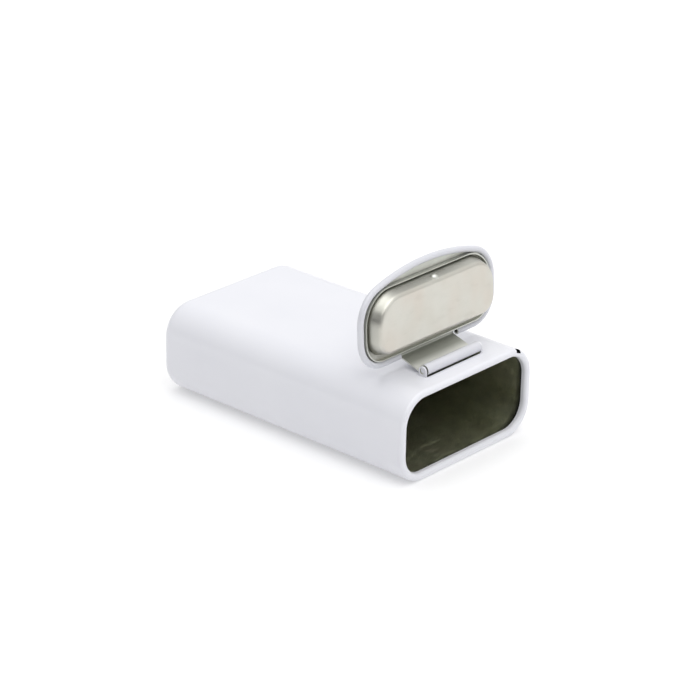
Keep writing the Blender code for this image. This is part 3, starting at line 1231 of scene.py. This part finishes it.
@dataclass
class FlipLid:
    """The enamelled cover with its rolled hem and hinge tongue, and the drawn insert.

    It is modelled shut in a frame of its own, with the hinge axis at the origin: across
    is along Y, down runs from the hinge edge, and out is away from the mouth.
    """

    hinge: Hinge
    enamel: Material
    bare: Material
    # The tongue's bare inside: the same sheet, painted brighter for the sky it reflects
    painted_bright: Material
    half_width: float = 17.45 * MM
    drop: float = 16.5 * MM
    arch_rise: float = 3.6 * MM
    hinge_corner: float = 5.6 * MM
    free_corner: float = 6.5 * MM
    hem: float = 0.55 * MM
    hem_flat: float = 0.03 * MM
    hem_tuck: float = 0.2 * MM
    sheet: float = 0.25 * MM
    mouth_gap: float = 0.3 * MM
    rise: float = 0.05 * MM
    tongue_width: float = 13.8 * MM
    tongue_relief: float = 0.5 * MM
    tongue_lap: float = 0.6 * MM
    tongue_sink: float = 0.012 * MM
    knuckle_bore: float = 0.7 * MM
    knuckle_turn: float = math.radians(285)
    insert_sheet: float = 0.2 * MM
    insert_fit: float = 0.08 * MM
    flange: Plan = Plan(16.1 * MM, 1.2 * MM, 13.9 * MM, 6.0 * MM, 4.2 * MM)
    plug: Plan = Plan(15.4 * MM, 2.35 * MM, 13.5 * MM, 5.6 * MM, 3.6 * MM)
    plug_depth: float = 2.1 * MM
    plug_edge: float = 0.7 * MM
    plug_root: float = 0.06 * MM
    plug_draft: float = math.radians(16)
    bump_radius: float = 0.8 * MM
    bump_standout: float = 0.45 * MM
    overrun: float = 1.0 * MM
    corner_steps: int = 16
    crown_steps: int = 36
    roll_steps: int = 8
    root_steps: int = 4
    bump_sides: int = 32
    bump_rings: int = 20

    @property
    def coats(self) -> tuple[Material, ...]:
        """Return the cover's coats, in the order of Side."""
        return (self.enamel, self.bare, self.painted_bright)

    @property
    def front(self) -> float:
        """Return the x of the hem's plane that faces the mouth, lid shut."""
        return self.hinge.setback + self.mouth_gap

    @property
    def top(self) -> float:
        """Return the z of the lid's hinge edge, lid shut."""
        return self.rise - self.hinge.rise

    @property
    def flange_out(self) -> float:
        """Return how far out the flange's face towards the mouth lies."""
        return 2 * self.hem - self.sheet - self.insert_fit - self.insert_sheet

    @property
    def flange_x(self) -> float:
        """Return the x of that face, lid shut."""
        return self.front + self.flange_out

    def build(self) -> list[Piece]:
        """Build the lid's pieces, swing them open and tie each to the frame.

        Returns:
            The pieces.
        """
        cover = self.cover()
        insert = self.insert()
        for piece, node, slot in (
            (cover, "lid_cover", "white_enamel"),
            (insert, "lid_plug", "bare_tinplate"),
        ):
            self.hinge.swing_open(piece)
            Bench.finish(piece)
            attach(piece, "lid")
            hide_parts(node)
        return [cover, insert]

    def outline(self) -> Pen:
        """Draw the lid's outline: straight at the hinge, arched at the free side.

        Returns:
            The pen, with the outline drawn but not closed.
        """
        half = self.half_width
        arch = (half**2 + self.arch_rise**2) / (2 * self.arch_rise)
        arch_centre = self.drop - arch
        free_across = half - self.free_corner
        reach = math.sqrt((arch - self.free_corner) ** 2 - free_across**2)
        free_down = arch_centre + reach
        free_turn = math.atan2(reach, free_across)
        hinge_across = half - self.hinge_corner
        top = self.top
        pen = Pen("lid_pan", Axis.X, self.front, -hinge_across, top)
        pen.turn(-hinge_across, top - self.hinge_corner, QUARTER, self.corner_steps)
        pen.run_to(-half, top - free_down)
        pen.turn(-free_across, top - free_down, free_turn, self.corner_steps)
        pen.turn(0.0, top - arch_centre, 2 * (QUARTER - free_turn), self.crown_steps)
        pen.turn(free_across, top - free_down, free_turn, self.corner_steps)
        pen.run_to(half, top - self.hinge_corner)
        pen.turn(hinge_across, top - self.hinge_corner, QUARTER, self.corner_steps)
        return pen

    def cover(self) -> Piece:
        """Build the cover: dished panel, rolled hem, wall, then the tongue in its gap.

        Returns:
            The cover.
        """
        depth = 2 * self.hem
        cover = self.outline().close()
        Bench.extrude(x=depth)
        Bench.face_out()
        Bench.pick(cover, Grip.FACE, lambda face: face.normal.x < -SQUARE)
        bpy.ops.mesh.inset(thickness=2 * self.hem, use_even_offset=True)
        Bench.extrude(x=self.hem + self.hem_tuck)
        bpy.ops.mesh.delete(type="FACE")
        for rim in (self.front, self.front + depth):
            Bench.round_off(cover, rim_test(rim), self.hem - self.hem_flat, self.roll_steps)
        Bench.leave()
        Bench.paint(cover, self.coats, Side.ENAMEL)
        Bench.thicken(cover, self.sheet, inner=Side.BARE, rim=Side.BARE)
        half = self.tongue_width / 2 + self.tongue_relief
        gap = Bench.block(
            "hem_gap",
            Vector((self.front - self.overrun, -half, self.top - depth - self.sheet)),
            Vector((self.front + depth + self.overrun, half, self.top + self.overrun)),
        )
        Bench.combine(cover, gap, Meet.CUT, Side.BARE)
        Bench.combine(cover, self.tongue(), Meet.JOIN)
        return cover

    def tongue(self) -> Piece:
        """Build the tongue: over the lid's edge, back to the hinge and round the pin.

        Returns:
            The tongue.
        """
        outer = self.knuckle_bore + self.sheet
        bend_x = self.front + self.hem
        bend_z = self.top - self.hem
        facing = math.atan2(bend_z, bend_x)
        meet = facing + math.acos((outer - self.hem) / math.hypot(bend_x, bend_z))
        surface = bend_x + self.hem - self.tongue_sink
        foot = self.top - 2 * self.hem - self.sheet - self.tongue_lap
        half = self.tongue_width / 2
        pen = Pen("lid_tongue", Axis.Y, -half, foot, surface)
        pen.run_to(bend_z, surface)
        pen.turn(bend_z, bend_x, -meet, self.roll_steps)
        pen.run_to(outer * math.sin(meet), outer * math.cos(meet))
        pen.turn(0.0, 0.0, -self.knuckle_turn, 4 * self.corner_steps)
        tongue = pen.close(fill=False)
        Bench.extrude(y=2 * half)
        Bench.face_along(tongue, lambda face: -face.calc_center_median().z, 1)
        Bench.leave()
        Bench.paint(tongue, self.coats, Side.ENAMEL)
        # The tongue's inner side takes the bare sheet painted brighter
        Bench.thicken(tongue, self.sheet, inner=Side.BURNISHED, rim=Side.BARE)
        return tongue

    def insert(self) -> Piece:
        """Build the insert: turned-up edge, flange, drafted plug, wall, then the snap bump.

        Returns:
            The insert.
        """
        insert = self.draw("lid_insert", self.flange, self.insert_sheet).close(fill=False)
        Bench.extrude(x=-self.flange_out)
        plug = self.draw("plug_root", self.plug).close()
        Bench.take(insert)
        plug.select_set(True)
        bpy.ops.object.join()
        Bench.edit(insert)
        Bench.pick(
            insert,
            Grip.EDGE,
            lambda edge: edge.is_boundary and all(ends_at(edge, Axis.X, self.flange_x)),
        )
        bpy.ops.mesh.fill(use_beauty=True)
        Bench.face_along(insert, lambda face: face.calc_area(), -1)
        self.raise_plug(insert)
        Bench.leave()
        Bench.paint(insert, (self.bare, self.drawn()))
        for one in insert.data.polygons:
            one.material_index = int(abs(one.normal.x) > ALONG)
        Bench.thicken(insert, self.insert_sheet)
        Bench.combine(insert, self.bump(), Meet.JOIN)
        return insert

    def draw(self, name: str, plan: Plan, inset: float = 0.0) -> Pen:
        """Draw a plan in the plane of the flange's face towards the mouth.

        Args:
            name: The name of the piece.
            plan: The plan.
            inset: How far its sides are moved in.

        Returns:
            The pen, with the outline drawn but not closed.
        """
        low = Vector((inset - plan.half, self.top - plan.bottom + inset))
        high = Vector((plan.half - inset, self.top - plan.top - inset))
        corners = (plan.free_corner - inset, plan.hinge_corner - inset)
        return Pen.rounded_box(name, Axis.X, self.flange_x, low, high, corners, self.corner_steps)

    def raise_plug(self, insert: Piece) -> None:
        """Draw the plug out of the flange, in edit mode, and round its two edges.

        Args:
            insert: The insert.
        """
        Bench.pick(insert, Grip.FACE, lambda face: len(face.verts) > 4 * self.corner_steps)
        height = self.plug_depth + self.flange_out
        spread = height * math.tan(self.plug_draft)
        bpy.ops.mesh.inset(thickness=spread, depth=height, use_even_offset=True)
        reach = self.plug_edge * math.tan((QUARTER - self.plug_draft) / 2)
        Bench.round_off(insert, rim_test(self.front - self.plug_depth), reach, self.roll_steps)
        Bench.round_off(insert, self.root_test(), self.plug_root, self.root_steps)

    def root_test(self) -> EdgeTest:
        """Make a test for the edges where the plug's wall rises from the flange.

        Returns:
            The test.
        """
        rim = rim_test(self.flange_x)
        return lambda edge: (
            rim(edge) and all(abs(face.normal.x) > ALONG for face in edge.link_faces)
        )

    def drawn(self) -> Material:
        """Make the plug's finish and its painted shade, laid from the place that its face has when
        open.

        Returns:
            The material.
        """
        turned = self.hinge.opened.to_3x3()
        away = turned @ Axis.X.unit()
        down = turned @ -Axis.Z.unit()
        shut = Vector((self.front - self.plug_depth, 0.0, self.top - self.plug.top))
        edge = self.hinge.opened @ shut
        finish = DrawnTinplate(
            away=away,
            down=down,
            face=away.dot(edge),
            foot=down.dot(edge),
            root=self.plug_depth + self.flange_out,
        )
        return finish.material()

    def bump(self) -> Piece:
        """Build the snap bump on the wall at the plug's free side.

        Returns:
            The bump.
        """
        Bench.clear()
        out = -self.plug_depth / 2
        wall = self.plug.bottom - (self.flange_out - out) * math.tan(self.plug_draft)
        height = self.top - wall + self.bump_radius - self.bump_standout
        bpy.ops.mesh.primitive_uv_sphere_add(
            segments=self.bump_sides,
            ring_count=self.bump_rings,
            radius=self.bump_radius,
            location=(self.front + out, 0.0, height),
        )
        bump = Bench.settle("snap_bump")
        Bench.paint(bump, (self.bare,))
        return bump


@dataclass
class Studio:
    """The floor, the soft light and the camera at the photograph's angle."""

    target: Triple = (0.0, 0.0, 8.25 * MM)
    azimuth: float = math.radians(41.554)
    elevation: float = math.radians(23.796)
    roll: float = math.radians(1.134)
    distance: float = 482.06 * MM
    aside: float = 1.053 * MM
    above: float = 3.017 * MM
    focal_px: float = 2749.1
    sensor: float = 36.0
    clip_start: float = 10 * MM
    floor_half: float = 3.0
    floor_drop: float = 0.02 * MM
    dome_colour: Colour = (1.0, 1.0, 1.0, 1.0)
    horizon_glow: float = 0.37
    zenith_glow: float = 0.80
    zenith_rise: float = 0.9
    back_glow: float = 0.38
    sun_strength: float = 1.68
    sun_width: float = math.radians(70)
    sun_turn: Triple = (math.radians(14), math.radians(6), 0.0)
    fill_power: float = 0.5
    fill_size: float = 0.5
    fill_place: Triple = (0.7, 0.1, 0.35)

    def build(self) -> None:
        """Set up the floor, the lights and the camera."""
        self.lay_floor()
        self.light_world()
        self.light_sun()
        self.light_fill()
        self.set_camera()
        scene = bpy.context.scene
        scene.view_settings.view_transform = "Standard"
        scene.view_settings.look = "None"

    def lay_floor(self) -> None:
        """Lay the floor under the tin."""
        Bench.clear()
        place = (0.0, 0.0, -self.floor_drop)
        bpy.ops.mesh.primitive_plane_add(size=2 * self.floor_half, location=place)
        floor = bpy.context.object
        floor.name = "pale_floor"
        floor.data.materials.append(PaleFloor().material())

    def light_world(self) -> None:
        """Light the scene with a soft dome, brighter overhead and behind the tin."""
        world = bpy.data.worlds.new("studio_dome")
        bpy.context.scene.world = world
        world.use_nodes = True
        graph = Graph(world.node_tree)
        place = graph.node("ShaderNodeTexCoord", {}).outputs["Generated"]
        parts = graph.node("ShaderNodeSeparateXYZ", {"Vector": place}).outputs
        rise = graph.ranged(parts["Z"], 0.0, self.zenith_rise, self.horizon_glow, self.zenith_glow)
        strength = graph.combine("MULTIPLY_ADD", parts["Y"], self.back_glow, rise)
        dome = graph.tree.nodes["Background"].inputs
        graph.feed(dome["Strength"], strength)
        graph.feed(dome["Color"], self.dome_colour)

    def hang(self, name: str, kind: str, power: float) -> Piece:
        """Hang a light in the scene.

        Args:
            name: Its name.
            kind: Its type name.
            power: Its strength.

        Returns:
            The light's object.
        """
        data = bpy.data.lights.new(name, kind)
        data.energy = power
        light = bpy.data.objects.new(name, data)
        bpy.context.scene.collection.objects.link(light)
        return light

    def light_sun(self) -> None:
        """Hang a very soft key light overhead, a little to the right."""
        sun = self.hang("overhead", "SUN", self.sun_strength)
        sun.data.angle = self.sun_width
        sun.rotation_euler = self.sun_turn

    def light_fill(self) -> None:
        """Stand a soft panel in front of the mouth."""
        panel = self.hang("mouth_fill", "AREA", self.fill_power)
        panel.data.size = self.fill_size
        panel.location = self.fill_place
        away = Vector(self.fill_place) - Vector(self.target)
        panel.rotation_euler = away.to_track_quat("Z", "Y").to_euler()

    def set_camera(self) -> None:
        """Place the camera at the photograph's viewing angle."""
        around, up_angle = self.azimuth, self.elevation
        back = Vector(
            (
                math.sin(around) * math.cos(up_angle),
                -math.cos(around) * math.cos(up_angle),
                math.sin(up_angle),
            )
        )
        level = Vector((math.cos(around), math.sin(around), 0.0))
        upright = back.cross(level)
        right = level * math.cos(self.roll) + upright * math.sin(self.roll)
        above = upright * math.cos(self.roll) - level * math.sin(self.roll)
        data = bpy.data.cameras.new("photo_camera")
        data.sensor_width = self.sensor
        data.lens = self.focal_px * self.sensor / IMAGE_SIDE
        data.clip_start = self.clip_start
        camera = bpy.data.objects.new("photo_camera", data)
        turn = Matrix((right, above, back)).transposed().to_4x4()
        place = Vector(self.target) + back * self.distance + right * self.aside + above * self.above
        camera.matrix_world = Matrix.Translation(place) @ turn
        bpy.context.scene.collection.objects.link(camera)
        bpy.context.scene.camera = camera


def main() -> None:
    """Build the body, the lid and the studio."""
    logging.basicConfig(level=logging.INFO, format="%(name)s: %(message)s")
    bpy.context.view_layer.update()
    hinge = Hinge(mouth_x=TinBody.length / 2, top_z=TinBody.height)
    enamel = WhiteEnamel().material()
    wire = DrawnWire().material()
    # The tube's inside, with painted shade with depth and a painted shadow behind the mouth's roll
    inside = InnerTinplate(mouth=hinge.mouth_x).material()
    plate = BareTinplate(
        name="base_plate_look",
        colour=(0.60, 0.60, 0.58, 1.0),
        stain=(0.55, 0.55, 0.525, 1.0),
        blush=(0.60, 0.585, 0.565, 1.0),
        roughness=0.34,
    ).material()
    lid_bare = BareTinplate(
        name="lid_inside_look",
        colour=(0.66, 0.67, 0.62, 1.0),
        stain=(0.54, 0.55, 0.50, 1.0),
        blush=(0.67, 0.66, 0.62, 1.0),
        roughness=0.45,
    ).material()
    # Painted shade: the lid's enamel is a darker copy of the body's, for the shade on the lid
    shaded_lid_enamel = WhiteEnamel(
        name="lid_enamel_look",
        colour=(0.66, 0.665, 0.71, 1.0),
        shade=(0.64, 0.647, 0.69, 1.0),
    ).material()
    # The strap's bare sheet, painted brighter, with painted shade near the lid
    strap = StrapTinplate(lid_end=hinge.axis_x - hinge.setback).material()
    body = TinBody(hinge, enamel, inside, plate, wire)
    lid = FlipLid(hinge, shaded_lid_enamel, lid_bare, strap)
    for maker in (body, lid):
        for piece in maker.build():
            LOG.info("%s: %d faces", piece.name, len(piece.data.polygons))
    Studio().build()


if __name__ == "__main__":
    main()
